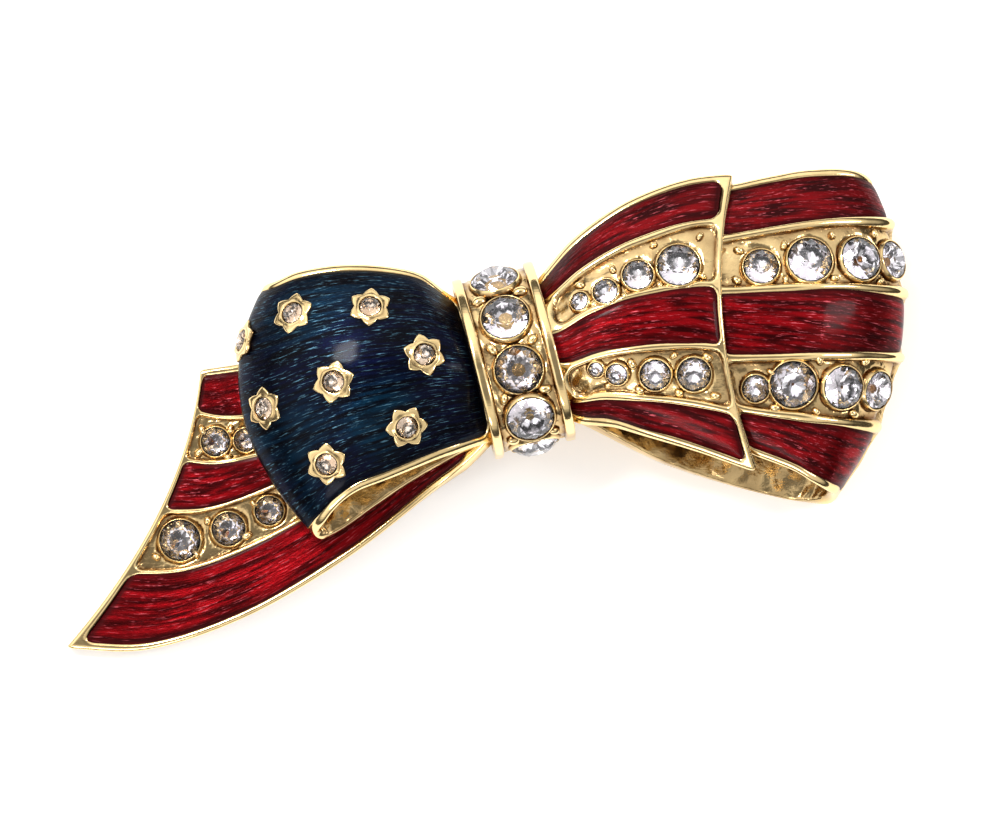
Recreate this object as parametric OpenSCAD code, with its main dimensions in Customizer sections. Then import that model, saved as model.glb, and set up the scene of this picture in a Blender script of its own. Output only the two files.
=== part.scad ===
// Bow brooch: a ribbon tied in a bow, cast in gold-coloured metal, with red and blue enamel
// and clear round stones. It lies on its back. X runs from the tail to the right loop,
// Y to the top of the bow and Z out of its front.

/* [Bow] */
// Nominal width of the bow from the tip of the tail to the right fold, in mm
bow_w = 70; // [69:0.5:72]
// Depth of the bow from its resting plane to the crest of the band
bow_d = 13; // [12.5:0.25:13.5]

/* [Ribbon casting] */
// Thickness of the cast ribbon
sheet_t = 1.4; // [1.3:0.05:1.5]
// Width of the rims along the edges of a ribbon
rim_w = 0.75; // [0.65:0.05:0.85]
// Width of the ridges between two stripes
ridge_w = 0.5; // [0.4:0.05:0.6]
// Depth of the channels below the rims and ridges
channel_d = 0.45; // [0.4:0.05:0.5]
// Run of the sloping channel walls
draft_w = 0.12; // [0.08:0.02:0.16]

/* [Knot band] */
// Width of the band that wraps the waist
band_w = 7; // [6.8:0.1:7.2]
// Length over the band, across the waist
band_l = 15.5; // [15.3:0.1:15.7]
// Thickness of the band under its raised rims
band_t = 1; // [0.9:0.05:1.1]
// Turn of the band from the upright
band_turn = 14; // [12:1:16]

/* [Stones] */
// Diameter of the largest stones, which sit on the band
stone_d = 3.9; // [3.8:0.05:4]
// Depth of a stone under its girdle, as a share of its diameter
culet_share = 0.22; // [0.2:0.01:0.24]
// Height of a stone over its girdle, as a share of its diameter
crown_share = 0.17; // [0.14:0.01:0.2]

/* [Star settings] */
// Diameter over the points of a star
star_d = 3.6; // [3.5:0.05:3.7]

/* [Pin fitting] */
// Length of the bar behind the bow
bar_l = 28; // [26:1:30]
// Width of the bar
bar_w = 3.4; // [3.2:0.1:3.6]
// Diameter of the pin stem
stem_d = 0.9; // [0.8:0.1:1]

/* [Fits] */
// Gap between enamel and metal
enamel_gap = 0.05; // [0.04:0.01:0.06]
// Gap between a stone and its seat
stone_gap = 0.05; // [0.04:0.01:0.06]
// Gap between the waist and the band, and between the casting and the bar
solder_gap = 0.05; // [0.04:0.01:0.06]

/* [Hidden] */
// Each ribbon is a row of sections from the knot outward. Plan lengths are shares of bow_w,
// measured from the knot, and heights are shares of bow_d. The columns are the top edge's
// x, y, z, the low edge's x, y, z, the swell of the middle sideways and outward, and the
// thickness as a share of sheet_t.
blue_rows = [
    [-0.047, 0.089, 0.60, -0.014, -0.070, 0.58, 0, 0.29, 1],
    [-0.076, 0.095, 0.60, -0.032, -0.084, 0.59, 0, 0.28, 1],
    [-0.116, 0.120, 0.70, -0.092, -0.107, 0.70, 0, 0.25, 1],
    [-0.164, 0.128, 0.73, -0.149, -0.131, 0.74, 0, 0.25, 1],
    [-0.212, 0.129, 0.73, -0.188, -0.146, 0.74, 0, 0.24, 1],
    [-0.260, 0.122, 0.70, -0.212, -0.162, 0.71, -0.012, 0.20, 1],
    [-0.290, 0.112, 0.63, -0.230, -0.181, 0.64, -0.035, 0.12, 0.8],
    [-0.302, 0.110, 0.53, -0.241, -0.194, 0.53, -0.058, 0.02, 0.65],
    [-0.292, 0.110, 0.45, -0.232, -0.197, 0.44, -0.045, -0.03, 0.7],
    [-0.250, 0.108, 0.42, -0.206, -0.183, 0.41, -0.010, -0.01, 0.9],
    [-0.190, 0.100, 0.42, -0.158, -0.150, 0.42, 0, 0, 1],
    [-0.120, 0.090, 0.46, -0.104, -0.116, 0.46, 0, 0, 1],
    [-0.050, 0.070, 0.50, -0.020, -0.070, 0.50, 0, 0, 1],
];
tail_rows = [
    [-0.023, 0.063, 0.60, -0.012, -0.057, 0.60, 0, 0, 1],
    [-0.074, 0.056, 0.47, -0.059, -0.103, 0.46, 0, 0, 1],
    [-0.152, 0.043, 0.36, -0.104, -0.138, 0.33, 0, 0.01, 1],
    [-0.236, 0.033, 0.35, -0.200, -0.212, 0.25, 0.005, 0.01, 1],
    [-0.305, 0.023, 0.34, -0.320, -0.282, 0.19, 0.015, 0.02, 1],
    [-0.350, 0.016, 0.33, -0.440, -0.322, 0.13, 0.025, 0.03, 1],
    [-0.380, 0.012, 0.32, -0.542, -0.321, 0.11, 0.033, 0.03, 1],
];
end_rows = [
    [0.016, 0.104, 0.60, 0.047, -0.049, 0.58, 0, 0.29, 1],
    [0.034, 0.127, 0.62, 0.076, -0.063, 0.60, 0, 0.27, 1],
    [0.064, 0.160, 0.67, 0.114, -0.068, 0.65, 0, 0.28, 1],
    [0.105, 0.191, 0.71, 0.153, -0.080, 0.69, 0, 0.28, 1],
    [0.153, 0.216, 0.73, 0.198, -0.093, 0.70, 0, 0.26, 1],
    [0.205, 0.233, 0.73, 0.243, -0.108, 0.70, -0.010, 0.25, 1],
    [0.259, 0.240, 0.72, 0.285, -0.123, 0.69, -0.026, 0.24, 1],
];
loop_rows = [
    [0.219, 0.225, 0.63, 0.255, -0.089, 0.61, -0.019, 0.26, 1],
    [0.262, 0.230, 0.64, 0.290, -0.103, 0.62, -0.019, 0.25, 1],
    [0.309, 0.240, 0.64, 0.329, -0.118, 0.61, -0.004, 0.24, 1],
    [0.357, 0.248, 0.61, 0.353, -0.131, 0.58, 0.016, 0.22, 1],
    [0.402, 0.249, 0.55, 0.373, -0.140, 0.50, 0.037, 0.15, 0.85],
    [0.424, 0.243, 0.44, 0.382, -0.143, 0.36, 0.060, 0.04, 0.75],
    [0.409, 0.235, 0.34, 0.374, -0.147, 0.12, 0.048, -0.02, 0.8],
    [0.350, 0.220, 0.30, 0.329, -0.138, 0.01, 0.012, 0, 1],
    [0.260, 0.190, 0.31, 0.255, -0.123, 0.10, 0, 0, 1],
    [0.150, 0.140, 0.34, 0.171, -0.099, 0.24, 0, 0, 1],
    [0.050, 0.085, 0.42, 0.087, -0.062, 0.40, 0, 0, 1],
    [0.020, 0.070, 0.50, 0.045, -0.046, 0.50, 0, 0, 1],
];

// A ribbon names its sections, its turning sense, the section numbers at which its channels
// start and end, the number of steps between, and the share across it of each ridge at the
// start and at the end.
blue = [blue_rows, 1, 1.12, 7.35, 11, [], []];
tail = [tail_rows, 1, 1, 5.86, 9, [0.30, 0.41, 0.495, 0.67], [0.156, 0.327, 0.509, 0.727]];
short = [end_rows, -1, 1, 5.78, 8, [0.20, 0.42, 0.66, 0.86], [0.17, 0.39, 0.605, 0.815]];
loop = [loop_rows, -1, 1.06, 5.4, 9, [0.215, 0.415, 0.665, 0.845], [0.145, 0.365, 0.56, 0.78]];

// Stones and grains: section number, share across, and diameter as a share of stone_d.
star_places = [
    [5.2, 0.185], [3.3, 0.215], [2.1, 0.47], [4.4, 0.525],
    [6.2, 0.53], [2.6, 0.80], [5.0, 0.835], [6.9, 0.23],
];
star_stone = 0.46;
short_stones = [
    [1.80, 0.335, 0.38], [2.60, 0.35, 0.52], [3.50, 0.325, 0.64], [4.60, 0.32, 0.90],
    [1.84, 0.715, 0.30], [2.45, 0.745, 0.44], [3.53, 0.74, 0.64], [4.64, 0.72, 0.70],
];
loop_stones = [
    [1.66, 0.325, 0.74], [2.67, 0.305, 0.95], [3.78, 0.29, 0.92], [4.70, 0.27, 0.80],
    [1.32, 0.755, 0.56], [2.20, 0.72, 0.98], [3.50, 0.70, 0.90], [4.50, 0.685, 0.80],
];
tail_stones = [
    [5.15, 0.265, 0.60], [4.45, 0.285, 0.48],
    [5.33, 0.61, 0.86], [4.55, 0.605, 0.70], [3.97, 0.595, 0.60], [3.6, 0.56, 0.42],
];
grain = 0.17;
short_grains = [
    [1.9, 0.25], [2.2, 0.39], [2.9, 0.26], [3.1, 0.40],
    [4.0, 0.22], [4.0, 0.385], [5.3, 0.22], [5.35, 0.365],
    [2.1, 0.80], [2.95, 0.70], [3.05, 0.81], [4.1, 0.66],
    [4.1, 0.80], [5.2, 0.65], [5.25, 0.78],
];
loop_grains = [
    [1.2, 0.26], [1.15, 0.37], [2.15, 0.25], [2.15, 0.37],
    [3.2, 0.22], [3.2, 0.36], [4.25, 0.20], [4.25, 0.35],
    [1.7, 0.69], [1.7, 0.81], [2.85, 0.63], [2.85, 0.79],
    [4.0, 0.61], [4.0, 0.77],
];
tail_grains = [
    [5.6, 0.22], [5.55, 0.30], [4.8, 0.23], [4.8, 0.33],
    [5.62, 0.57], [5.62, 0.67], [4.95, 0.55], [4.95, 0.67], [4.22, 0.54], [4.25, 0.66],
];
// Places of the band's stones and grains: turn from the crest, and share of half the width.
band_turns = [61, 25, -9, -42, -79];
band_grains = [
    for (i = [0:3]) for (s = [-1, 1]) [(band_turns[i] + band_turns[i + 1]) / 2, s * 0.5],
];

gold = [0.85, 0.68, 0.28];
red = [0.55, 0.03, 0.08];
navy = [0.03, 0.07, 0.24];
clear = [0.92, 0.92, 0.95];

// The smooth curve through a table's rows at section number u, by the cubic whose slope at
// each row is half the step between that row's two neighbours
function row_at(rows, u) =
    let (
        n = len(rows) - 1,
        i = min(n - 1, floor(u)),
        t = u - i,
        b = rows[i],
        c = rows[i + 1],
        a = i > 0 ? rows[i - 1] : 2 * b - c,
        d = i + 2 <= n ? rows[i + 2] : 2 * c - b
    )
    (2 * b + (c - a) * t + (2 * a - 5 * b + 4 * c - d) * t * t + (3 * b - a - 3 * c + d) * t * t * t) / 2;

function top_edge(r) = [r[0] * bow_w, r[1] * bow_w, r[2] * bow_d];
function low_edge(r) = [r[3] * bow_w, r[4] * bow_w, r[5] * bow_d];
function swell(r) = [r[6] * bow_w, 0, r[7] * bow_d];
function across(r) = norm(low_edge(r) - top_edge(r));

// A point of a ribbon's outer surface: section number u, share v from its top edge
function on_row(r, v) = top_edge(r) * (1 - v) + low_edge(r) * v + swell(r) * 4 * v * (1 - v);
function on_ribbon(rib, u, v) = on_row(row_at(rib[0], u), v);

// Direction along the ribbon and the outward direction at that point
small = 0.02;
function along(rib, u, v) =
    let (last = len(rib[0]) - 1)
    on_ribbon(rib, min(last, u + small), v) - on_ribbon(rib, max(0, u - small), v);
function down(rib, u, v) = on_ribbon(rib, u, v + small) - on_ribbon(rib, u, v - small);
function outward(rib, u, v) =
    let (n = cross(along(rib, u, v), down(rib, u, v)))
    rib[1] * n / norm(n);

// The frame of a setting on a ribbon: Z outward, X along it
function frame_at(p, n, a) =
    let (
        x = (a - (a * n) * n) / norm(a - (a * n) * n),
        y = cross(n, x)
    )
    [[x[0], y[0], n[0], p[0]], [x[1], y[1], n[1], p[1]], [x[2], y[2], n[2], p[2]], [0, 0, 0, 1]];
function setting(rib, u, v) = frame_at(on_ribbon(rib, u, v), outward(rib, u, v), along(rib, u, v));

// The channels of a ribbon at section number u, as pairs of shares across it
function ridge_at(rib, u, k) =
    let (t = (u - rib[2]) / (rib[3] - rib[2]))
    rib[5][k] * (1 - t) + rib[6][k] * t;
function channels(rib, u) =
    let (
        n = len(rib[5]),
        wide = across(row_at(rib[0], u)),
        rim = rim_w / wide,
        half = ridge_w / 2 / wide
    )
    [for (k = [0:n]) [
        k == 0 ? rim : ridge_at(rib, u, k - 1) + half,
        k == n ? 1 - rim : ridge_at(rib, u, k) - half
    ]];

// Inner points of a channel between its walls: one for a stripe, five for the blue field
function spread(rib) = len(rib[5]) == 0 ? 5 : 1;

// Columns of the relief that the plain inner surface keeps: both edges, and of each channel
// the middle, with one more on either side in the wide blue field
function kept(rib) =
    let (
        n = spread(rib),
        each_one = n + 4,
        extra = n > 1 ? 2 : 0,
        middles = [for (k = [0:len(rib[5])]) each_one * k + 3 + floor(n / 2)]
    )
    concat(0, [for (m = middles) for (e = [-extra:2:extra]) m + e], each_one * len(middles) + 1);

// The relief across a ribbon, as pairs of share and depth; cut is 1 in the channels' length
function relief(rib, u, cut) =
    let (
        n = spread(rib),
        run = draft_w / across(row_at(rib[0], u))
    )
    concat(
        [[0, 0]],
        [for (c = channels(rib, u)) each concat(
            [[c[0], 0]],
            [for (j = [0:n + 1])
                let (a = c[0] + run, b = c[1] - run)
                [a + (b - a) * j / (n + 1), cut * channel_d]],
            [[c[1], 0]]
        )],
        [[1, 0]]
    );

// Section numbers of a ribbon's mesh, each with its cut
step_u = 0.03;
function stations(rib) =
    let (last = len(rib[0]) - 1, a = rib[2], b = rib[3])
    concat(
        [[0, 0], [a - step_u, 0]],
        [for (k = [0:rib[4]]) [a + (b - a) * k / rib[4], 1]],
        [[b + step_u, 0]],
        [for (k = [ceil(b + step_u):last]) [k, 0]]
    );

function outer_grid(rib) = [
    for (s = stations(rib)) for (q = relief(rib, s[0], s[1]))
        on_ribbon(rib, s[0], q[0]) - q[1] * outward(rib, s[0], q[0])
];
function inner_grid(rib) = [
    for (s = stations(rib))
        let (q = relief(rib, s[0], 0))
        for (k = kept(rib))
            on_ribbon(rib, s[0], q[k][0]) - sheet_t * row_at(rib[0], s[0])[8] * outward(rib, s[0], q[k][0])
];

// Triangles of a closed sheet: an outer grid of m rows of n points, and an inner grid whose
// rows hold only the outer columns that keep names
function turned(f, side) = side > 0 ? f : [f[2], f[1], f[0]];
function grid_faces(start, m, n) = [
    for (r = [0:m - 2]) for (c = [0:n - 2])
        let (a = start + r * n + c)
        each [[a, a + n + 1, a + n], [a, a + 1, a + n + 1]]
];
function wall_faces(m, n, p, k) = [
    for (r = [0:m - 2])
        let (a = r * n, b = a + n - 1, c = k + r * p, d = c + p - 1)
        each [[a, a + n, c + p], [a, c + p, c], [b + n, b, d], [b + n, d, d + p]]
];
function cap_faces(a, c, keep) = [
    for (j = [0:len(keep) - 2]) each concat(
        [for (i = [keep[j]:keep[j + 1] - 1]) [a + i + 1, a + i, c + j]],
        [[a + keep[j + 1], c + j, c + j + 1]]
    )
];
function sheet_faces(m, n, keep, side) =
    let (k = m * n, p = len(keep))
    concat(
        [for (f = grid_faces(0, m, n)) turned(f, side)],
        [for (f = grid_faces(k, m, p)) turned(f, -side)],
        [for (f = wall_faces(m, n, p, k)) turned(f, side)],
        [for (f = cap_faces(0, k, keep)) turned(f, side)],
        [for (f = cap_faces((m - 1) * n, k + (m - 1) * p, keep)) turned(f, -side)]
    );

module sheet(outer, inner, n, keep, side) {
    polyhedron(
        points = concat(outer, inner),
        faces = sheet_faces(len(outer) / n, n, keep, side),
        convexity = 8
    );
}

module ribbon(rib) {
    sheet(outer_grid(rib), inner_grid(rib), len(relief(rib, rib[2], 1)), kept(rib), rib[1]);
}

// Enamel that fills channel k of a ribbon, clear of the metal all round. Its rim lies a drop
// under the ridges, its middle rises, and the sections lie about one pitch apart.
fill_drop = 0.06;
fill_rise = 0.1;
row_pitch = 3;
module fill(rib, k) {
    n = spread(rib) + 1;
    a = rib[2] + enamel_gap / row_pitch;
    b = rib[3] - enamel_gap / row_pitch;
    us = concat(
        [a],
        [for (j = [1:rib[4] - 1]) rib[2] + (rib[3] - rib[2]) * j / rib[4]],
        [b]
    );
    outer = [for (u = us) for (j = [0:n])
        let (
            wide = across(row_at(rib[0], u)),
            c = channels(rib, u)[k],
            lap = (enamel_gap + draft_w * fill_drop / channel_d) / wide,
            t = j / n,
            v = (c[0] + lap) * (1 - t) + (c[1] - lap) * t
        )
        on_ribbon(rib, u, v) + (4 * t * (1 - t) * fill_rise - fill_drop) * outward(rib, u, v)];
    inner = [for (u = us) for (j = [0:n])
        let (
            wide = across(row_at(rib[0], u)),
            c = channels(rib, u)[k],
            lap = (j == 0 || j == n ? enamel_gap + draft_w : draft_w) / wide,
            t = j / n,
            v = (c[0] + lap) * (1 - t) + (c[1] - lap) * t
        )
        on_ribbon(rib, u, v) - (channel_d - enamel_gap) * outward(rib, u, v)];
    sheet(outer, inner, n + 1, [for (j = [0:n]) j], rib[1]);
}

// A brilliant-cut stone whose girdle lies at z = 0, with its table up and its culet down
girdle_t = 0.1;
table_share = 0.58;
table_sides = 8;
culet_sides = 4;
large_d = 3;
function sides_of(d) = d > large_d ? 12 : 8;
module stone(d) {
    color(clear)
        hull() {
            translate([0, 0, -girdle_t])
                cylinder(h = girdle_t, d = d, $fn = sides_of(d));
            rotate([0, 0, 180 / table_sides])
                translate([0, 0, crown_share * d - small])
                    cylinder(h = small, d = table_share * d, $fn = table_sides);
            translate([0, 0, -culet_share * d])
                cylinder(h = small, d = small * d, $fn = culet_sides);
        }
}

// The hollow a stone sits in, a little wider and deeper than the stone and open to the front
mouth = 1;
function seat_depth(d) = culet_share * d + stone_gap;
module seat(d, deep) {
    sides = sides_of(d);
    translate([0, 0, -deep])
        cylinder(h = deep + mouth, r = d / 2 + stone_gap / cos(180 / sides), $fn = sides);
}

// The raised cup round a stone, rooted in the ribbon under its channels
cup_w = 0.24;
cup_h = 0.06;
root_bite = 0.5;
root = channel_d + root_bite;
module cup(d, deep) {
    hull() {
        translate([0, 0, -deep])
            cylinder(h = small, d = d + 4 * cup_w, $fn = sides_of(d));
        translate([0, 0, cup_h])
            cylinder(h = small, d = d + 2 * cup_w, $fn = sides_of(d));
    }
}

// A bead of metal raised between the stones, from under the channel's floor to a third of
// the channel's depth below the rims
bead_bite = 0.1;
bead_sides = 6;
module bead(d) {
    hull() {
        translate([0, 0, -channel_d - bead_bite])
            cylinder(h = small, d = d, $fn = bead_sides);
        translate([0, 0, -channel_d / 3])
            cylinder(h = small, d = d / 2, $fn = bead_sides);
    }
}

// A six-pointed star, made of three long rhombs whose waists meet the star's inner corners.
// It reaches from a depth under the surface to a height over it.
star_rise = 0.1;
star_waist = 0.285;
tip_grow = 2;
waist_grow = 1.15;
module star(grow, deep, high) {
    tip = star_d / 2 + tip_grow * grow;
    waist = star_d * star_waist + waist_grow * grow;
    for (k = [0:2])
        rotate([0, 0, 60 * k])
            translate([0, 0, -deep])
                hull()
                    linear_extrude(deep + high)
                        polygon([[tip, 0], [0, waist], [-tip, 0], [0, -waist]]);
}

// Places of the settings, sunk so that each girdle lies a little under the surface
sink = 0.12;
module set_at(rib, place, lift) {
    multmatrix(setting(rib, place[0], place[1]))
        translate([0, 0, lift])
            children();
}

module settings(rib, stones, grains) {
    difference() {
        union() {
            children();
            for (s = stones)
                set_at(rib, s, -sink)
                    cup(s[2] * stone_d, root);
            for (g = grains)
                set_at(rib, g, 0)
                    bead(grain * stone_d);
        }
        for (s = stones)
            set_at(rib, s, -sink)
                seat(s[2] * stone_d, seat_depth(s[2] * stone_d));
    }
}

// The band is a ring round the waist, deep in front and flat behind. Its middle lies off the
// knot by shares of bow_w. Its lower part is shorter than its upper part, by their shares of
// band_l, and its corner is fuller: the powers are those of a superellipse.
band_mid = [-0.0017 * bow_w, 0.0097 * bow_w, bow_d / 2];
band_back = 3.2;
band_floor = 0.3;
// How far the band's seats run on past its inner face, which bends away from them
seat_open = 0.5;
band_parts = [0.458, 0.542];
band_powers = [3, 2];
function ring_point(turn, out, side) =
    let (
        k = sin(turn) > 0 ? 1 : 0,
        p = band_powers[k],
        r = pow(pow(abs(sin(turn)), p) + pow(abs(cos(turn)), p), 1 / p),
        deep = (cos(turn) > 0 ? bow_d - band_mid[2] : band_back) + out,
        s = (band_parts[k] * band_l + out) * sin(turn) / r,
        z = deep * cos(turn) / r
    )
    [side, s, z];
function band_place(turn, out, side) =
    let (
        p = ring_point(turn, out, side),
        q = ring_point(turn + 1, out, side) - ring_point(turn - 1, out, side),
        n = cross([1, 0, 0], q)
    )
    frame_at(p, n / norm(n), [1, 0, 0]);

band_steps = 30;
module band_frame() {
    translate(band_mid)
        rotate([0, 0, band_turn])
            children();
}

module band_ring() {
    half = band_w / 2;
    rim = half - rim_w;
    floor_end = rim - draft_w;
    profile = [
        [-half, -band_t], [-half, 0], [-rim, 0], [-floor_end, -channel_d],
        [floor_end, -channel_d], [rim, 0], [half, 0], [half, -band_t],
    ];
    n = len(profile);
    polyhedron(
        points = [for (k = [0:band_steps - 1]) for (q = profile)
            ring_point(360 * k / band_steps, q[1], q[0])],
        faces = [for (k = [0:band_steps - 1]) for (j = [0:n - 1])
            let (
                a = k * n + j,
                b = k * n + (j + 1) % n,
                c = ((k + 1) % band_steps) * n + (j + 1) % n,
                d = ((k + 1) % band_steps) * n + j
            )
            each [[a, c, b], [a, d, c]]],
        convexity = 6
    );
}

// The waist under the band, a little shorter than the band is wide
waist_in = 0.1;
module waist() {
    reach = band_w / 2 - waist_in;
    band_frame()
        rotate([90, 0, 90])
            translate([0, 0, -reach])
                linear_extrude(2 * reach)
                    polygon([for (k = [0:band_steps - 1])
                        let (p = ring_point(360 * k / band_steps, -band_t - solder_gap, 0))
                        [p[1], p[2]]]);
}

// The fitting behind: a bar with a hinge block, a catch and a straight stem
bar_t = 0.8;
bar_top = 2.8;
bar_y = 3.2;
foot_l = 2.4;

// Solder pads over the bar: place along it, and height, enough to end inside the ribbon
pads = [[-9, 1.1], [9, 2.2]];
pad_in = 0.4;
round_fn = 24;
module pad(x, tall) {
    translate([x, bar_y, bar_top + solder_gap])
        cylinder(h = tall, d = bar_w - 2 * pad_in, $fn = round_fn);
}

// The rings of a stone's cup rim and table, where a stone stands out past a fold
function ring_at(rib, place, r, z, n, start) = [
    for (k = [0:n - 1])
        let (
            m = setting(rib, place[0], place[1]),
            q = m * [r * cos(start + 360 * k / n), r * sin(start + 360 * k / n), z, 1]
        )
        [q[0], q[1], q[2]]
];
function stone_rings(rib, place) =
    let (d = place[2] * stone_d)
    concat(
        ring_at(rib, place, d / 2 + cup_w, cup_h + small - sink, sides_of(d), 0),
        ring_at(rib, place, table_share * d / 2, crown_share * d - sink, table_sides, 180 / table_sides)
    );

// The middle of the whole outline, which is the origin
edge_points = concat(
    outer_grid(tail), inner_grid(tail), outer_grid(loop), inner_grid(loop), outer_grid(short),
    [for (place = loop_stones) each stone_rings(loop, place)]
);
centre = [for (k = [0:1])
    let (s = [for (p = edge_points) p[k]])
    (min(s) + max(s)) / 2];

module placed() {
    translate([-centre[0], -centre[1], 0])
        children();
}

module cast_ribbon() {
    color(gold)
        placed()
            union() {
                waist();
                difference() {
                    union() {
                        ribbon(blue);
                        for (s = star_places)
                            set_at(blue, s, 0)
                                star(0, root, star_rise);
                    }
                    for (s = star_places)
                        set_at(blue, s, star_rise)
                            seat(star_stone * stone_d, seat_depth(star_stone * stone_d));
                }
                settings(tail, tail_stones, tail_grains)
                    ribbon(tail);
                settings(short, short_stones, short_grains)
                    ribbon(short);
                settings(loop, loop_stones, loop_grains)
                    ribbon(loop);
                for (q = pads)
                    pad(q[0], q[1]);
            }
}

module knot_band() {
    color(gold)
        placed()
            band_frame()
                difference() {
                    union() {
                        band_ring();
                        for (t = band_turns)
                            multmatrix(band_place(t, -sink, 0))
                                cup(stone_d, band_t - band_floor);
                        for (g = band_grains)
                            multmatrix(band_place(g[0], 0, g[1] * band_w / 2))
                                bead(grain * stone_d);
                    }
                    for (t = band_turns)
                        multmatrix(band_place(t, -sink, 0))
                            seat(stone_d, band_t + seat_open);
                }
}

module pin_finding() {
    color(gold)
        placed()
            union() {
                translate([-bar_l / 2, bar_y - bar_w / 2, bar_top - bar_t])
                    cube([bar_l, bar_w, bar_t]);
                for (s = [-1, 1])
                    translate([s * (bar_l - foot_l) / 2, bar_y, bar_top / 2])
                        cube([foot_l, bar_w, bar_top], center = true);
                translate([-bar_l / 2, bar_y, bar_t])
                    rotate([0, 90, 0])
                        cylinder(h = bar_l, d = stem_d, $fn = round_fn);
            }
}

module blue_enamel() {
    color(navy)
        placed()
            difference() {
                fill(blue, 0);
                for (s = star_places)
                    set_at(blue, s, 0)
                        star(enamel_gap, root + star_d / 2, mouth);
            }
}

// Stripe k of a ribbon: its red stripes are the first, third and fifth channels
module red_enamel(rib, k) {
    color(red)
        placed()
            fill(rib, 2 * k - 2);
}

module ribbon_stone(rib, place) {
    placed()
        set_at(rib, place, -sink)
            stone(place[2] * stone_d);
}

module star_stone_at(place) {
    placed()
        set_at(blue, place, star_rise)
            stone(star_stone * stone_d);
}

module band_stone(turn) {
    placed()
        band_frame()
            multmatrix(band_place(turn, -sink, 0))
                stone(stone_d);
}

cast_ribbon();
knot_band();
pin_finding();
blue_enamel();
for (k = [1:3]) {
    red_enamel(tail, k);
    red_enamel(short, k);
    red_enamel(loop, k);
}
for (k = [1:len(band_turns)])
    band_stone(band_turns[k - 1]);
for (k = [1:len(star_places)])
    star_stone_at(star_places[k - 1]);
for (k = [1:len(short_stones)])
    ribbon_stone(short, short_stones[k - 1]);
for (k = [1:len(loop_stones)])
    ribbon_stone(loop, loop_stones[k - 1]);
for (k = [1:len(tail_stones)])
    ribbon_stone(tail, tail_stones[k - 1]);
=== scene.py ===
"""Bow brooch: a cast ribbon bow with red and blue enamel and clear stones, built round its frame.

Shapes are worked out in millimetres from the knot, and put into the frame in metres when a mesh
is made. A ribbon is a table of sections, so each of its surfaces is a function of the section
number u along it, the share v across it, and the height h over its outer face.
"""

import math
from dataclasses import dataclass

import bpy
import numpy as np
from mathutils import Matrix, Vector


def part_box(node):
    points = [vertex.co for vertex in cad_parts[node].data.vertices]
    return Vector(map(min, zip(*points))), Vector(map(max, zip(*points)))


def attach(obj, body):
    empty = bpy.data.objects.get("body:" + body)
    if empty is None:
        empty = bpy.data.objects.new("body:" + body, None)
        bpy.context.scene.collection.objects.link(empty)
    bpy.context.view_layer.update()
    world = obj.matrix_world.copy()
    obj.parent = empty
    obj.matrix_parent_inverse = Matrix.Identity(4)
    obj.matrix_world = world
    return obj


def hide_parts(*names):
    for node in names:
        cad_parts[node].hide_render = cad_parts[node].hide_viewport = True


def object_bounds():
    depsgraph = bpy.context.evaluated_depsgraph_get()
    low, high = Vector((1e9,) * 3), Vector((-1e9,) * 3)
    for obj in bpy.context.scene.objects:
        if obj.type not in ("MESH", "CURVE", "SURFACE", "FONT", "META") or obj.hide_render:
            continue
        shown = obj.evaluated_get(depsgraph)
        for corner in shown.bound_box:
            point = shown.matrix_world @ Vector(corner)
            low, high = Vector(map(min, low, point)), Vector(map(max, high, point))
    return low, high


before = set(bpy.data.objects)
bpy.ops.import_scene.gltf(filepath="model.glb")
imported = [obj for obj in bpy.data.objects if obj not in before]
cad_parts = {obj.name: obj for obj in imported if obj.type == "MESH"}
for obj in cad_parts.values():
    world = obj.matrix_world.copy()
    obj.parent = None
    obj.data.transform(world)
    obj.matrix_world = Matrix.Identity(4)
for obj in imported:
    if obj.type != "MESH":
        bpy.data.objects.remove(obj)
CAD_LOW, CAD_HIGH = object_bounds()

# Sizes, in millimetres. The bow's width is its outline's width over OUTLINE_SHARE, and the knot
# lies BAR_Y under the middle of the pin's bar, as it does in the frame.
METRE = 0.001
OUTLINE_SHARE = 1.0111
BOW_W = (CAD_HIGH.x - CAD_LOW.x) / METRE / OUTLINE_SHARE
BOW_D = 13.0
BAR_Y = 3.2
BAR_MIDDLE = np.array(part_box("pin_finding")).mean(0) / METRE
KNOT = BAR_MIDDLE * [1, 1, 0] - [0, BAR_Y, 0]

# The casting: the sheet, its rims and beds, how round its lands, hems and corners are, and the
# least metal under a pit.
SHEET_T = 1.4
RIM_W = 0.75
CHANNEL_D = 0.45
BLUNT = 2.2
RIM_FALL = 0.5
HEM_RUN = 0.35
EDGE_ROUND = 0.25
CORNER = 2.2
TIP_ROUND = 0.6
SKIN = 0.12

# The ridges: how far their foot stands out to each side, and at the fold how much stouter they
# are, and over how many section numbers they are stout and high.
RIDGE_FOOT = 0.06
KNUCKLE_STOUT = 0.8
KNUCKLE_WIDE = 0.7
KNUCKLE_LONG = 0.6

# The enamel: how far it runs on under the metal, how low it lies at a wall, how much higher it
# is in the middle, how soon it rises and from how far under the wall, and its least thickness.
UNDERCUT = 0.2
ENAMEL_LOW = 0.12
ENAMEL_RISE = 0.11
RISE_REACH = 0.25
RISE_UNDER = 0.1
ENAMEL_THIN = 0.03

# The painted shade in the enamel next to the metal: its two shares and their reaches, and where it
# starts round a star and how far it reaches there.
NEAR_SHARES = 0.6, 0.4
NEAR_REACHES = 0.25, 1.0
STAR_DARK = 1.5
STAR_DARK_REACH = 0.2

# The painted shade on a floor: its least share, and how far it reaches in from the walls, which is
# in half widths of the metal beyond them on a ribbon. The last is how soon a pit is all in painted
# shade.
FLOOR_SHADE = 0.38
FLOOR_SHADE_REACH = 0.7
BAND_SHADE = 0.3
BAND_SHADE_REACH = 0.3
PIT_SHADE = 6

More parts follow.
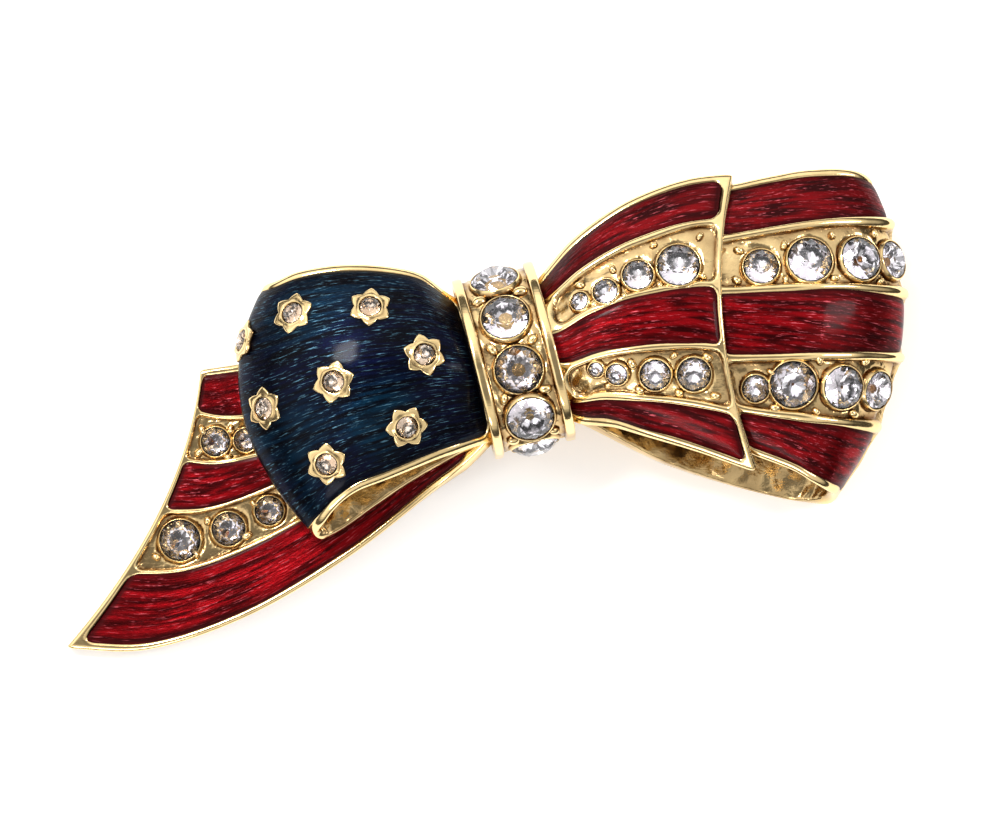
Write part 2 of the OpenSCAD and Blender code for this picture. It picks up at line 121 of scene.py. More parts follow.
# Ripples: their height, their pace along and across, and the seed of their directions.
RIDGE_RIPPLE = 0.08, 3.1, 0, 40
FLOOR_RIPPLE = 0.045, 5.2, 5.2, 7
LAND_RIPPLE = 0.015, 1.3, 1.9, 11
INNER_RIPPLE = 0.05, 2.1, 2.4, 13
ENAMEL_RIPPLE = 0.012, 0.9, 1.1, 17
ENGRAVED_RIPPLE = 0.006, 1.1, 4.5, 29
BAND_FLOOR_RIPPLE = 0.05, 5, 5, 23
BAND_RIPPLE = 0.02, 1.7, 2, 3

# Stones, their settings and the grains between them.
STONE_D = 3.9
STAR_STONE = 0.46 * STONE_D
FOIL_SHARE = 0.3
GIRDLE_SHARE = 0.025
SINK = 0.12
STAR_RISE = 0.1
PIT_ROOM = 0.25
PIT_WALL = 0.3
GRAIN_D = 0.19 * STONE_D
BAND_GRAIN_D = 0.26 * STONE_D

# The band round the waist. Its parts and powers are those of its lower and its upper part, and
# BAND_RADIAN is about the length of one radian of it.
BAND_W = 7.0
BAND_L = 15.5
BAND_T = 1.0
BAND_RIM = 0.85
BAND_FALL = 0.3
BAND_BLUNT = 4
BAND_BACK = 3.2
BAND_PARTS = 0.458, 0.542
BAND_POWERS = 3, 2
BAND_RADIAN = BAND_L / 2.6
BAND_MID = np.array([-0.0017 * BOW_W, 0.0097 * BOW_W, BOW_D / 2])
BAND_TURN = math.radians(14)
BAND_ACROSS = np.array([math.cos(BAND_TURN), math.sin(BAND_TURN), 0])
BAND_ALONG = np.array([-math.sin(BAND_TURN), math.cos(BAND_TURN), 0])
OUTWARD = np.array([0, 0, 1])
SOLDER_GAP = 0.05

# How finely the ribbons are drawn: the step along them, the columns on a strip of metal, how
# many more sections crowd next to an end and within how much of a section number, and the least
# difference between two sections.
STEP = 0.3
LAND_COLUMNS = 11
END_SECTIONS = 9
END_REACH = 0.14
LEAST_STEP = 0.004

# The ribbons.
# The columns are the top edge's x, y, z, the low edge's x, y, z, the swell of the middle
# sideways and outward, and the thickness. Plan lengths are shares of BOW_W, heights are shares
# of BOW_D and the thickness is a share of SHEET_T.
BLUE_ROWS = [
    [-0.047, 0.089, 0.60, -0.014, -0.070, 0.58, 0, 0.29, 1],
    [-0.076, 0.095, 0.60, -0.032, -0.084, 0.59, 0, 0.28, 1],
    [-0.116, 0.120, 0.70, -0.092, -0.107, 0.70, 0, 0.25, 1],
    [-0.164, 0.128, 0.73, -0.149, -0.131, 0.74, 0, 0.25, 1],
    [-0.212, 0.129, 0.73, -0.188, -0.146, 0.74, 0, 0.24, 1],
    [-0.260, 0.122, 0.70, -0.212, -0.162, 0.71, -0.012, 0.20, 1],
    [-0.290, 0.112, 0.63, -0.230, -0.181, 0.64, -0.035, 0.12, 0.8],
    [-0.302, 0.110, 0.53, -0.241, -0.194, 0.53, -0.058, 0.02, 0.65],
    [-0.292, 0.110, 0.45, -0.232, -0.197, 0.44, -0.045, -0.03, 0.7],
    [-0.250, 0.108, 0.42, -0.206, -0.183, 0.41, -0.010, -0.01, 0.9],
    [-0.190, 0.100, 0.42, -0.158, -0.150, 0.42, 0, 0, 1],
    [-0.120, 0.090, 0.46, -0.104, -0.116, 0.46, 0, 0, 1],
    [-0.050, 0.070, 0.50, -0.020, -0.070, 0.50, 0, 0, 1],
]
TAIL_ROWS = [
    [-0.023, 0.063, 0.60, -0.012, -0.057, 0.60, 0, 0, 1],
    [-0.074, 0.056, 0.47, -0.059, -0.103, 0.46, 0, 0, 1],
    [-0.152, 0.043, 0.36, -0.104, -0.138, 0.33, 0, 0.01, 1],
    [-0.236, 0.033, 0.35, -0.200, -0.212, 0.25, 0.005, 0.01, 1],
    [-0.305, 0.023, 0.34, -0.320, -0.282, 0.19, 0.015, 0.02, 1],
    [-0.350, 0.016, 0.33, -0.440, -0.322, 0.13, 0.025, 0.03, 1],
    [-0.380, 0.012, 0.32, -0.542, -0.321, 0.11, 0.033, 0.03, 1],
]
END_ROWS = [
    [0.016, 0.104, 0.60, 0.047, -0.049, 0.58, 0, 0.29, 1],
    [0.034, 0.127, 0.62, 0.076, -0.063, 0.60, 0, 0.27, 1],
    [0.064, 0.160, 0.67, 0.114, -0.068, 0.65, 0, 0.28, 1],
    [0.105, 0.191, 0.71, 0.153, -0.080, 0.69, 0, 0.28, 1],
    [0.153, 0.216, 0.73, 0.198, -0.093, 0.70, 0, 0.26, 1],
    [0.205, 0.233, 0.73, 0.243, -0.108, 0.70, -0.010, 0.25, 1],
    [0.259, 0.240, 0.72, 0.285, -0.123, 0.69, -0.026, 0.24, 1],
]
LOOP_ROWS = [
    [0.219, 0.225, 0.63, 0.255, -0.089, 0.61, -0.019, 0.26, 1],
    [0.262, 0.230, 0.64, 0.290, -0.103, 0.62, -0.019, 0.25, 1],
    [0.309, 0.240, 0.64, 0.329, -0.118, 0.61, -0.004, 0.24, 1],
    [0.357, 0.248, 0.61, 0.353, -0.131, 0.58, 0.016, 0.22, 1],
    [0.402, 0.249, 0.55, 0.373, -0.140, 0.50, 0.037, 0.15, 0.85],
    [0.424, 0.243, 0.44, 0.382, -0.143, 0.36, 0.060, 0.04, 0.75],
    [0.409, 0.235, 0.34, 0.374, -0.147, 0.12, 0.048, -0.02, 0.8],
    [0.350, 0.220, 0.30, 0.329, -0.138, 0.01, 0.012, 0, 1],
    [0.260, 0.190, 0.31, 0.255, -0.123, 0.10, 0, 0, 1],
    [0.150, 0.140, 0.34, 0.171, -0.099, 0.24, 0, 0, 1],
    [0.050, 0.085, 0.42, 0.087, -0.062, 0.40, 0, 0, 1],
    [0.020, 0.070, 0.50, 0.045, -0.046, 0.50, 0, 0, 1],
]


@dataclass
class Ribbon:
    """A ribbon: its table of sections, and where its channels, ridges and fold are."""
    rows: list
    # Which way its outer face looks from its edges, 1 or -1.
    side: int
    # Section numbers at which its channels start and end.
    start: float
    end: float
    # The shares across of its ridges at the start and at the end, and their width.
    ridges: tuple = ((), ())
    ridge_w: float = 0.5
    # Columns on the floor of each channel.
    floor_columns: int = 13
    # Whether its last section is a cut end that shows.
    free_end: bool = False
    # How far the ridges stand out at the fold, and the section number of the fold.
    knuckle: float = 0.0
    fold: float = 4.9
    # How much sooner the enamel starts than the stones' channels.
    tuck: float = 0.0

    @property
    def last(self):
        """The last section number."""
        return len(self.rows) - 1

    def begins(self, channel):
        """Section number at which a channel starts; stripes of enamel are the even ones."""
        return self.start - self.tuck * (channel % 2 == 0)


BLUE = Ribbon(BLUE_ROWS, side=1, start=0.96, end=7.35, floor_columns=90)
TAIL = Ribbon(
    TAIL_ROWS, side=1, start=1, end=5.86, ridge_w=0.4, free_end=True,
    ridges=((0.30, 0.41, 0.495, 0.67), (0.156, 0.327, 0.509, 0.727)),
)
SHORT = Ribbon(
    END_ROWS, side=-1, start=0.9, end=5.78, ridge_w=0.6, free_end=True, tuck=0.75,
    ridges=((0.20, 0.42, 0.66, 0.86), (0.17, 0.39, 0.605, 0.815)),
)
LOOP = Ribbon(
    LOOP_ROWS, side=-1, start=0.6, end=5.4, ridge_w=0.7, knuckle=0.45,
    ridges=((0.215, 0.415, 0.665, 0.845), (0.145, 0.365, 0.56, 0.78)),
)

# Stones are section number, share across, and diameter as a share of STONE_D; grains and stars
# are section number and share across.
STARS = [
    [5.2, 0.185], [3.3, 0.215], [2.1, 0.47], [4.4, 0.525],
    [6.2, 0.53], [2.6, 0.80], [5.0, 0.835], [6.9, 0.23],
]
STAR_TURNS = [10, 25, 40, 5, 20, 50, 0, 15]
SHORT_STONES = np.array([
    [1.80, 0.335, 0.38], [2.60, 0.35, 0.52], [3.50, 0.325, 0.64], [4.60, 0.32, 0.90],
    [1.84, 0.715, 0.30], [2.45, 0.745, 0.44], [3.53, 0.74, 0.64], [4.64, 0.72, 0.70],
])
LOOP_STONES = np.array([
    [1.66, 0.325, 0.74], [2.67, 0.305, 0.95], [3.78, 0.29, 0.92], [4.70, 0.27, 0.80],
    [1.32, 0.755, 0.56], [2.20, 0.72, 0.98], [3.50, 0.70, 0.90], [4.50, 0.685, 0.80],
])
TAIL_STONES = np.array([
    [5.15, 0.265, 0.60], [4.45, 0.285, 0.48],
    [5.33, 0.61, 0.86], [4.55, 0.605, 0.70], [3.97, 0.595, 0.60], [3.6, 0.56, 0.42],
])
SHORT_GRAINS = [
    [1.9, 0.25], [2.2, 0.39], [2.9, 0.26], [3.1, 0.40],
    [4.0, 0.22], [4.0, 0.385], [5.3, 0.22], [5.35, 0.365],
    [2.1, 0.80], [2.95, 0.70], [3.05, 0.81], [4.1, 0.66],
    [4.1, 0.80], [5.2, 0.65], [5.25, 0.78],
]
LOOP_GRAINS = [
    [1.2, 0.26], [1.15, 0.37], [2.15, 0.25], [2.15, 0.37],
    [3.2, 0.22], [3.2, 0.36], [4.25, 0.20], [4.25, 0.35],
    [1.7, 0.69], [1.7, 0.81], [2.85, 0.63], [2.85, 0.79],
    [4.0, 0.61], [4.0, 0.77],
]
TAIL_GRAINS = [
    [5.6, 0.22], [5.55, 0.30], [4.8, 0.23], [4.8, 0.33],
    [5.62, 0.57], [5.62, 0.67], [4.95, 0.55], [4.95, 0.67], [4.22, 0.54], [4.25, 0.66],
]
BAND_STONE_TURNS = np.array([61.0, 25.0, -9.0, -42.0, -79.0])


# Surfaces.
def rows_at(rows, u):
    """A table's row at each section number: the cubic through the rows whose slope at a row is
    half the step between that row's two neighbours."""
    rows = np.asarray(rows, float)
    last = len(rows) - 1
    held = np.vstack([2 * rows[0] - rows[1], rows, 2 * rows[-1] - rows[-2]])
    i = np.clip(np.floor(u).astype(int), 0, last - 1)
    t = (u - i)[..., None]
    a, b, c, d = held[i], held[i + 1], held[i + 2], held[i + 3]
    squared = (2 * a - 5 * b + 4 * c - d) * t**2
    cubed = (3 * b - a - 3 * c + d) * t**3
    return b + ((c - a) * t + squared + cubed) / 2


def edges_at(rib, u):
    """Top edge, low edge, swell and thickness of a ribbon: its rows times the named sizes."""
    row = rows_at(rib.rows, u)
    scale = np.array([BOW_W, BOW_W, BOW_D])
    swell = np.stack([row[..., 6] * BOW_W, 0 * row[..., 6], row[..., 7] * BOW_D], -1)
    return row[..., 0:3] * scale, row[..., 3:6] * scale, swell, row[..., 8] * SHEET_T


def on_ribbon(rib, u, v):
    """The outer face: the straight line from top to low edge, plus the swell times 4v(1 - v)."""
    top, low, swell, _ = edges_at(rib, u)
    v = v[..., None]
    return top * (1 - v) + low * v + swell * 4 * v * (1 - v)


def unit(a):
    """Vectors divided by their own lengths."""
    return a / np.linalg.norm(a, axis=-1, keepdims=True)


def directions(rib, u, v, small=0.01):
    """Unit directions along and out of the face, from differences of it to both sides."""
    before = np.clip(u - small, 0, rib.last)
    after = np.clip(u + small, 0, rib.last)
    along = on_ribbon(rib, after, v) - on_ribbon(rib, before, v)
    down = on_ribbon(rib, u, v + small) - on_ribbon(rib, u, v - small)
    out = unit(rib.side * np.cross(along, down))
    return unit(along), out


def raised(rib, u, v, h):
    """The face at section numbers u and shares v, moved out by the heights h."""
    return on_ribbon(rib, u, v) + h[..., None] * directions(rib, u, v)[1]


def pitch_of(rib, u, v, small=0.02):
    """The length along the ribbon for one section number: a difference of the face to both
    sides, over twice the small step."""
    step = on_ribbon(rib, u + small, v) - on_ribbon(rib, u - small, v)
    return np.linalg.norm(step, axis=-1) / (2 * small)


def width_and_pitch(rib, u):
    """The distance between the two edges, and the pitch along the middle."""
    top, low, _, _ = edges_at(rib, u)
    return np.linalg.norm(low - top, axis=-1), pitch_of(rib, u, np.full_like(u, 0.5))


def run_of(rib, u):
    """Length along the middle up to each section number: the sum of the steps before it, each
    the mean of the pitch at its two ends times the step."""
    _, pitch = width_and_pitch(rib, u)
    return np.concatenate([[0], np.cumsum((pitch[1:] + pitch[:-1]) / 2 * np.diff(u))])


def lengths(rib, u):
    """Length along the middle from the ribbon's own start to each section number."""
    fine = np.linspace(0, rib.last, 400)
    return np.interp(u, fine, run_of(rib, fine))


def ripple(kind, along, across, shift=0, waves=9):
    """A smooth uneven height: the kind's height times a sum of sine waves in seeded directions,
    over the square root of their count. Another shift gives another ripple of the kind."""
    height, along_pace, across_pace, seed = kind
    rng = np.random.default_rng(seed + shift)
    angle, phase = rng.uniform(0, 2 * np.pi, (2, waves))
    pace = rng.uniform(0.6, 1.6, waves)
    total = 0
    for a, p, k in zip(angle, phase, pace):
        way = along * along_pace * np.cos(a) + across * across_pace * np.sin(a)
        total = total + np.sin(k * way + p)
    return height * total / math.sqrt(waves)


def between(low, high, s):
    """Columns at s from -1 to 1 between each row's two values: their middle, plus s times half
    their difference."""
    return (low + high)[:, None] / 2 + (high - low)[:, None] / 2 * s


def spread(values, grid):
    """Each row's value, over all the columns of a grid."""
    return np.broadcast_to(values[:, None], grid.shape)


def crowded(count):
    """Values from -1 to 1 that crowd together at both ends: minus the cosine of even angles."""
    return -np.cos(np.linspace(0, np.pi, count))


def fading(distance, reach):
    """1 up to a wall, and beyond it the exponential of minus the distance over the reach."""
    return np.exp(-np.clip(distance, 0, None) / reach)


def bell(distance, reach):
    """1 in the middle: the exponential of minus the square of the distance over the reach."""
    return np.exp(-((distance / reach) ** 2))


def land(s, blunt=BLUNT):
    """Height share of a rounded strip of metal over s from -1 to 1: a blunt ellipse."""
    return (1 - np.clip(np.abs(s), 0, 1) ** blunt) ** (1 / blunt)


def land_edges(rib, u, wide):
    """Shares at which each strip of metal begins and ends: the rim, the ridges, the rim. A
    ridge runs straight between its two shares, wavers a little, and is stouter at the fold."""
    t = np.clip((u - rib.start) / (rib.end - rib.start), 0, 1)
    rim = RIM_W / wide
    stout = 1 + KNUCKLE_STOUT * rib.knuckle * bell(u - rib.fold, KNUCKLE_WIDE)
    edges = [(0 * rim, rim)]
    for k, (a, b) in enumerate(zip(*rib.ridges)):
        waver = 1 + ripple(RIDGE_RIPPLE, u, 0, k)
        half = (rib.ridge_w / 2 + RIDGE_FOOT) * waver * stout / wide
        middle = a * (1 - t) + b * t
        edges.append((middle - half, middle + half))
    edges.append((1 - rim, 1 + 0 * rim))
    return edges


def stations(rib, first=0.0, final=None):
    """Section numbers about STEP apart along the middle, with more that crowd towards each end
    of the channels and towards the ribbon's end. Those that nearly meet are thinned."""
    final = rib.last if final is None else final
    coarse = np.linspace(first, final, 80)
    run = run_of(rib, coarse)
    even = np.interp(np.linspace(0, run[-1], int(run[-1] / STEP)), run, coarse)
    near = np.linspace(0, 1, END_SECTIONS) ** 1.5 * END_REACH
    extra = np.concatenate([rib.start + near, rib.begins(0) + near, rib.end - near, final - near])
    every = np.sort(np.concatenate([even, extra[(extra > first) & (extra < final)]]))
    apart = np.concatenate([[True], np.diff(every) > LEAST_STEP])
    apart[-1] = True
    return every[apart]


# Meshes.
def linked(name, data):
    """A new object with its data, in the scene."""
    made = bpy.data.objects.new(name, data)
    bpy.context.scene.collection.objects.link(made)
    return made


class Shell:
    """Points, faces, map and masks of one piece, gathered from grids of points."""

    def __init__(self):
        self.points = []
        self.maps = []
        self.masks = []
        self.faces = []
        self.count = 0

    def add(self, points, maps=None, mask=0.0):
        """Takes points of any grid, their places on the map and their mask; gives their numbers."""
        shape = points.shape[:-1]
        flat = points.reshape(-1, 3)
        maps = flat[:, :2] if maps is None else np.broadcast_to(maps, shape + (2,)).reshape(-1, 2)
        self.points.append(flat)
        self.maps.append(maps)
        self.masks.append(np.broadcast_to(mask, shape).reshape(-1))
        numbers = self.count + np.arange(len(flat)).reshape(shape)
        self.count += len(flat)
        return numbers

    def quads(self, numbers, flip=False, rows_closed=False, columns_closed=False):
        """Faces between neighbours of a grid of numbers, or of a stack of such grids."""
        if rows_closed:
            numbers = np.concatenate([numbers, numbers[..., :1, :]], -2)
        if columns_closed:
            numbers = np.concatenate([numbers, numbers[..., :1]], -1)
        a = numbers[..., :-1, :-1]
        b = numbers[..., :-1, 1:]
        c = numbers[..., 1:, 1:]
        d = numbers[..., 1:, :-1]
        order = [a, b, c, d] if flip else [a, d, c, b]
        self.faces.append(np.stack(order, -1).reshape(-1, 4))

    def fan(self, ring, apex, flip=False):
        """Triangles from a closed ring of numbers, or a stack of rings, to one number each."""
        after = np.roll(ring, -1, -1)
        apex = np.broadcast_to(apex[..., None], ring.shape)
        order = [ring, apex, after] if flip else [ring, after, apex]
        self.faces.append(np.stack(order, -1).reshape(-1, 3))

    def build(self, name, finish):
        """The mesh object, in metres and smooth, with its map in centimetres and its mask."""
        points = (np.concatenate(self.points) + KNOT) * METRE
        faces = [face for part in self.faces for face in part.tolist()]
        mesh = bpy.data.meshes.new(name)
        mesh.from_pydata(points, [], faces)
        corners = np.zeros(len(mesh.loops), np.int32)
        mesh.loops.foreach_get("vertex_index", corners)
        layer = mesh.uv_layers.new(name="Along")
        layer.data.foreach_set("uv", (np.concatenate(self.maps)[corners] / 10).ravel())
        # The mask, stored for the materials, is painted shade.
        mask = mesh.attributes.new("painted_shade", "FLOAT", "POINT")
        mask.data.foreach_set("value", np.concatenate(self.masks).astype(np.float32))
        mesh.polygons.foreach_set("use_smooth", np.full(len(mesh.polygons), True))
        mesh.validate()
        mesh.update()
        mesh.materials.append(finish)
        return linked(name, mesh)


def slab(rib, name, finish, u, v, heights, lengths_on, masks):
    """A closed sheet on a ribbon between two heights, each with its mask: the two faces, their
    edges and both ends. Its map is its lengths along and across."""
    shell = Shell()
    maps = np.stack(lengths_on, -1)
    a, b = (shell.add(raised(rib, u, v, h), maps, mask) for h, mask in zip(heights, masks))
    inward = rib.side < 0
    shell.quads(np.concatenate([a, b[:, ::-1]], 1), flip=inward, columns_closed=True)
    shell.quads(np.stack([a[0], b[0]]), flip=inward)
    shell.quads(np.stack([a[-1], b[-1]]), flip=not inward)
    return shell.build(name, finish)


def spun(frames, radii, heights, angles):
    """Rings round each frame's own axis: its centre, plus radius times the turned direction,
    plus height times the axis, for each frame, ring and angle."""
    centre, x, y, axis = (frames[:, k][:, None, None] for k in range(4))
    turn = angles[:, None]
    turned = np.cos(turn) * x + np.sin(turn) * y
    return centre + radii[..., None] * turned + heights[..., None] * axis


def circle(count):
    """Angles evenly round a turn."""
    return np.arange(count) * 2 * np.pi / count


def frames_on(rib, places, lift=0.0, turns=0.0):
    """Centre, two turned directions and the axis of each setting on a ribbon."""
    places = np.asarray(places, float)
    u, v = places[:, 0], places[:, 1]
    along, out = directions(rib, u, v)
    centre = on_ribbon(rib, u, v) + lift * out
    return turned_frames(centre, along, out, turns)


def turned_frames(centre, along, out, turns=0.0):
    """Each centre, its direction along and the one square to it, both turned about the axis
    out by an angle in degrees, and the axis."""
    side = np.cross(out, along)
    a = np.radians(np.broadcast_to(turns, len(centre)))[:, None]
    return np.stack([centre, along * np.cos(a) + side * np.sin(a),
                     side * np.cos(a) - along * np.sin(a), out], 1)


# The casting.
def rounded_inside(a, b, corner=CORNER):
    """How far inside a round-cornered channel a place lies: the corner's radius less the
    distance from its centre, worked out from the distances to both walls."""
    return corner - np.hypot(np.clip(corner - a, 0, None), np.clip(corner - b, 0, None))


def relief(rib, u):
    """Shares of a channelled face's columns, the height share of the metal there, how far the
    outer halves of the borders fall, whether a floor holds stones, and how far inside a channel
    a place lies. Distances from a channel's walls are counted in half widths of the metal beyond
    them, so that its crest is one away."""
    wide, middle_pitch = width_and_pitch(rib, u)
    s = crowded(LAND_COLUMNS)
    edges = land_edges(rib, u, wide)
    t = (1 + crowded(rib.floor_columns + 2)[1:-1]) / 2
    shares = []
    falls = []
    floors = []
    for i, (low, high) in enumerate(edges):
        outer = (i == 0) * (s < 0) + (i == len(edges) - 1) * (s > 0)
        shares.append(between(low, high, s))
        falls.append(np.where(outer, 1 - land(s), 0))
        floors.append(np.full(len(s), 0))
        if i + 1 < len(edges):
            shares.append(high[:, None] + (edges[i + 1][0] - high)[:, None] * t)
            falls.append(0 * t)
            floors.append(np.full(len(t), i % 2))
    share = np.concatenate(shares, 1)
    grid_u = spread(u, share)
    if rib.free_end:
        t = np.clip(1 - (rib.last - u) * middle_pitch / TIP_ROUND, 0, 1)
        pulled = TIP_ROUND / wide * (1 - np.sqrt(1 - t * t))
        share = 0.5 + (share - 0.5) * (1 - pulled)[:, None]
    pitch = pitch_of(rib, grid_u, share)
    border = (rib.last - rib.end) * pitch / 2 if rib.free_end else HEM_RUN
    top = np.ones_like(share)
    deep = np.full_like(share, -1.0)
    for i, ((a, b), (c, d)) in enumerate(zip(edges[:-1], edges[1:])):
        ends = np.minimum((grid_u - rib.begins(i)) * pitch / HEM_RUN,
                          (rib.end - grid_u) * pitch / border)
        left = (share - b[:, None]) / ((b - a)[:, None] / 2)
        right = (c[:, None] - share) / ((d - c)[:, None] / 2)
        inside = rounded_inside(np.minimum(left, right), ends)
        top = np.minimum(top, land(np.clip(1 + inside, 0, 1)))
        deep = np.maximum(deep, inside)
    fall = np.broadcast_to(np.concatenate(falls), share.shape)
    if rib.free_end:
        fall = np.maximum(fall, 1 - land(np.clip(1 - (rib.last - grid_u) * pitch / border, 0, 1)))
    return share, top, RIM_FALL * fall, np.concatenate(floors), deep


def pitted(points, high, centres, diameters, deepest):
    """Heights with a pit under each stone, a little deeper than its foil reaches but not
    through the sheet; each pit's wall is a smooth step of the distance from its centre."""
    for centre, d in zip(centres, diameters):
        away = np.linalg.norm(points - centre, axis=-1)
        t = np.clip((d / 2 + PIT_ROOM - away) / PIT_WALL, 0, 1)
        deep = np.minimum(SINK + (FOIL_SHARE + GIRDLE_SHARE) * d + 0.08, deepest)
        high = np.minimum(high, high * (1 - t) - deep * t * t * (3 - 2 * t))
    return high


def casting(rib, name, gold, sizes, places):
    """A cast ribbon: the channelled outer face, and an inner face one thickness below it whose
    edges are rounded by a quarter circle. The outer face is the land's height share times the
    channel's depth, with ripples on it, a knuckle on each ridge at the fold and a pit under
    each stone. Its mask is painted shade, which is strongest at the walls and in the pits."""
    u = stations(rib)
    wide, pitch = width_and_pitch(rib, u)
    share, top, fall, pave, deep = relief(rib, u)
    grid_u = spread(u, share)
    thick = edges_at(rib, u)[3][:, None]
    along = spread(lengths(rib, u), share)
    across = share * wide[:, None]
    plain = -CHANNEL_D * (1 - top + fall)
    plain = plain + pave * (1 - top) * ripple(FLOOR_RIPPLE, along, across)
    plain = plain + top * ripple(LAND_RIPPLE, along, across)
    ridged = np.clip(12 * np.minimum(share, 1 - share) - 0.5, 0, 1)
    plain = plain + rib.knuckle * top * ridged * bell(grid_u - rib.fold, KNUCKLE_LONG)
    high = pitted(on_ribbon(rib, grid_u, share), plain, frames_on(rib, places)[:, 0], sizes,
                  deepest=thick - SKIN)
    # Painted shade: darker on the floors, most at the walls and in the pits under the stones.
    shade_mask = (1 - top) * (FLOOR_SHADE + (1 - FLOOR_SHADE) * fading(deep, FLOOR_SHADE_REACH))
    shade_mask = np.maximum(shade_mask, np.clip((plain - high) * PIT_SHADE, 0, 1))
    edge = np.minimum(across, wide[:, None] - across)
    if rib.free_end:
        edge = np.minimum(edge, ((rib.last - u) * pitch)[:, None])
    lift = EDGE_ROUND - np.sqrt(EDGE_ROUND**2 - np.clip(EDGE_ROUND - edge, 0, EDGE_ROUND) ** 2)
    low = -thick + lift + ripple(INNER_RIPPLE, along, across)
    # The outer face carries this painted shade, the inner face an even painted shade of one half.
    return slab(rib, name, gold, grid_u, share, (high, low), (along, across), (shade_mask, 0.5))


def enamel(rib, channel, name, glaze, s, stars=()):
    """The fill of one channel, whose columns lie at s from -1 to 1 across it and whose sides
    run a little under the metal. Its face is level in the middle and sinks towards the walls as
    an exponential of the distance from them, over a flat back. Its mask is painted shade by the
    nearness to the metal, a sum of two exponentials, and one more round each star; the back is all
    in it."""
    start = rib.begins(channel)
    u = stations(rib, start, rib.end)
    wide, pitch = width_and_pitch(rib, u)
    edges = land_edges(rib, u, wide)
    low = edges[channel][1] - UNDERCUT / wide
    high = edges[channel + 1][0] + UNDERCUT / wide
    share = between(low, high, s)
    grid_u = spread(u, share)
    reach = ((high - low) * wide)[:, None] / 2
    inside = (np.minimum(u - start, rib.end - u) * pitch)[:, None]
    wall = np.minimum(reach * (1 - np.abs(s)), inside) - UNDERCUT
    # Painted shade along the metal walls.
    near = sum(k * fading(wall, reach) for k, reach in zip(NEAR_SHARES, NEAR_REACHES))
    along = spread(lengths(rib, u), share)
    across = share * wide.mean()
    top = -ENAMEL_LOW + ENAMEL_RISE * (1 - fading(wall + RISE_UNDER, RISE_REACH))
    top = top + ripple(ENAMEL_RIPPLE, along, across, channel)
    top = top + ripple(ENGRAVED_RIPPLE, along, across, channel)
    top = pitted(on_ribbon(rib, grid_u, share), top, stars, [STAR_STONE] * len(stars),
                 deepest=0.8)
    bottom = np.minimum(SOLDER_GAP - CHANNEL_D, top - ENAMEL_THIN)
    face = raised(rib, grid_u, share, top)
    # More painted shade round each star.
    for star in stars:
        away = np.linalg.norm(face - star, axis=-1)
        near = np.maximum(near, fading(away - STAR_DARK, STAR_DARK_REACH))
    return slab(rib, name, glaze, grid_u, share, (top, bottom), (along, across), (near, 1.0))


def star_settings(name, gold):
    """Six-pointed settings: rings whose radius grows evenly with the angle from each notch to
    each tip, from the seat's wall over the lip and down the points to under the enamel."""
    # The columns are the radius past the stone's, the reach of the points, height and painted
    # shade.
    profile = np.array([
        [-0.10, 0.00, -0.50, 1.0], [0.02, 0.00, -0.02, 1.0], [0.05, 0.00, 0.12, 0.9],
        [0.10, 0.01, 0.17, 0.1], [0.17, 0.03, 0.15, 0.0], [0.22, 0.08, 0.06, 0.5],
        [0.30, 0.22, 0.05, 0.3], [0.38, 0.38, 0.06, 0.1], [0.42, 0.46, 0.04, 0.0],
        [0.44, 0.49, -0.03, 0.5], [0.44, 0.50, -0.30, 1.0], [0.10, 0.10, -0.60, 1.0],
    ])
    angles = circle(72)
    point = np.abs(1 - angles * 6 / np.pi % 2)
    radii = STAR_STONE / 2 + profile[:, :1] + profile[:, 1:2] * point
    shell = Shell()
    points = spun(frames_on(BLUE, STARS, 0, STAR_TURNS), radii, profile[:, 2:3], angles)
    shell.quads(shell.add(points, mask=profile[:, 3:]), rows_closed=True, columns_closed=True)
    return shell.build(name, gold)


def cups(shell, frames, diameters, angles=circle(40)):
    """Collars round stones: a wall a little wider than the girdle, a thin lip over it, and a
    slope that flares into the floor."""
    # The columns are the radius past the stone's, height and painted shade.
    profile = np.array([
        [-0.22, -0.55, 1.0], [0.03, -0.14, 1.0], [0.06, -0.03, 0.9], [0.09, 0.03, 0.2],
        [0.13, 0.02, 0.0], [0.19, -0.09, 0.3], [0.26, -0.22, 0.7], [0.38, -0.42, 1.0],
        [0.20, -0.60, 1.0],
    ])
    radii = diameters[:, None, None] / 2 + profile[:, :1]
    points = spun(frames, radii, profile[:, 1:2], angles)
    shell.quads(shell.add(points, mask=profile[:, 2:]), rows_closed=True, columns_closed=True)


def beads(shell, frames, diameter, angles=circle(12)):
    """Grains of metal raised round: rings from the crown down to the foot under the floor. Each
    grain is a little larger or smaller than the next, and is drawn out one way by the cosine of
    twice the angle."""
    # The columns are the radius as a share of the grain's, height and painted shade.
    profile = np.array([
        [0.30, 0.13, 0.0], [0.58, 0.08, 0.0], [0.82, -0.03, 0.25], [0.97, -0.17, 0.75],
        [1.03, -0.32, 1.0], [1.0, -0.52, 1.0],
    ])
    rng = np.random.default_rng(5)
    size = diameter / 2 * rng.uniform(0.85, 1.2, (len(frames), 1, 1))
    drawn = 1 + 0.22 * np.cos(2 * (angles - rng.uniform(0, np.pi, (len(frames), 1, 1))))
    radii = size * profile[:, :1] * drawn
    numbers = shell.add(spun(frames, radii, profile[:, 1:2], angles), mask=profile[:, 2:])
    shell.quads(numbers, columns_closed=True)
    # No painted shade on the crown, and all of it at the foot.
    crown = shell.add(frames[:, 0] + 0.15 * frames[:, 3], mask=0.0)
    foot = shell.add(frames[:, 0] - 0.5 * frames[:, 3], mask=1.0)
    shell.fan(numbers[:, 0], crown)
    shell.fan(numbers[:, -1], foot, flip=True)


